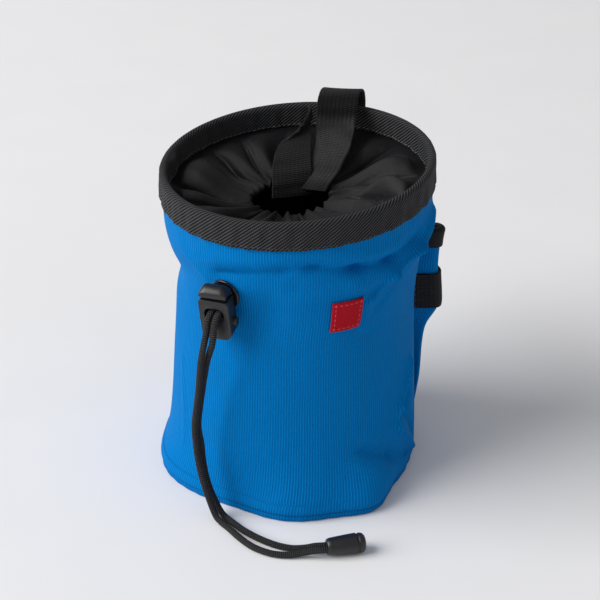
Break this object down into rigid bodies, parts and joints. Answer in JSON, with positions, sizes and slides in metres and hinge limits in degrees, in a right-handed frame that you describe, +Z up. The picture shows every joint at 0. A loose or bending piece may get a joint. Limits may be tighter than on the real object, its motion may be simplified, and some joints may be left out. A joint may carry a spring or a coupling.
{
  "type": "climbing chalk bag",
  "caption": "Soft cylindrical cloth bag with a bound mouth, gathered drawcord closure with cord lock, pull loop, brush holder and small label.",
  "frame": {"origin": "middle of the base's underside", "axes": "+Z up towards the mouth, front of the bag with the label faces -Y, brush holder on the +X side"},
  "size_m": [0.1341, 0.162, 0.1604],
  "materials": {
    "blue_cloth": "fine ribbed weave, matt",
    "binding_tape": "herringbone tape, matt",
    "black_cloth": "smooth soft cloth",
    "black_webbing": "ribbed webbing",
    "cord_cloth": "braided cord",
    "black_plastic": "satin moulded plastic",
    "gloss_plastic": "glossy moulded plastic",
    "red_cloth": "woven label, matt"
  },
  "bodies": {
    "bag": {"shell": "blue_cloth", "base_panel": "blue_cloth", "rim_binding": "binding_tape", "skirt": "black_cloth", "strap_loop": "black_webbing", "strap_tail": "black_webbing", "eyelet": "gloss_plastic", "cord_lock_body": "black_plastic", "drawcord_left": "cord_cloth", "drawcord_right": "cord_cloth", "cord_end": "black_plastic", "brush_sleeve": "blue_cloth", "sleeve_binding": "black_webbing", "brush_band": "black_webbing", "label": "red_cloth"},
    "lock_button": {"cord_lock_button": "black_plastic"}
  },
  "joints": [
    {"name": "lock_press", "type": "slide", "parent": "bag", "child": "lock_button", "axis": [0.0985, 0.1273, -0.987], "range_m": [0, 0.0015], "stiffness_N_per_m": 400, "springref_m": -0.002}
  ]
}
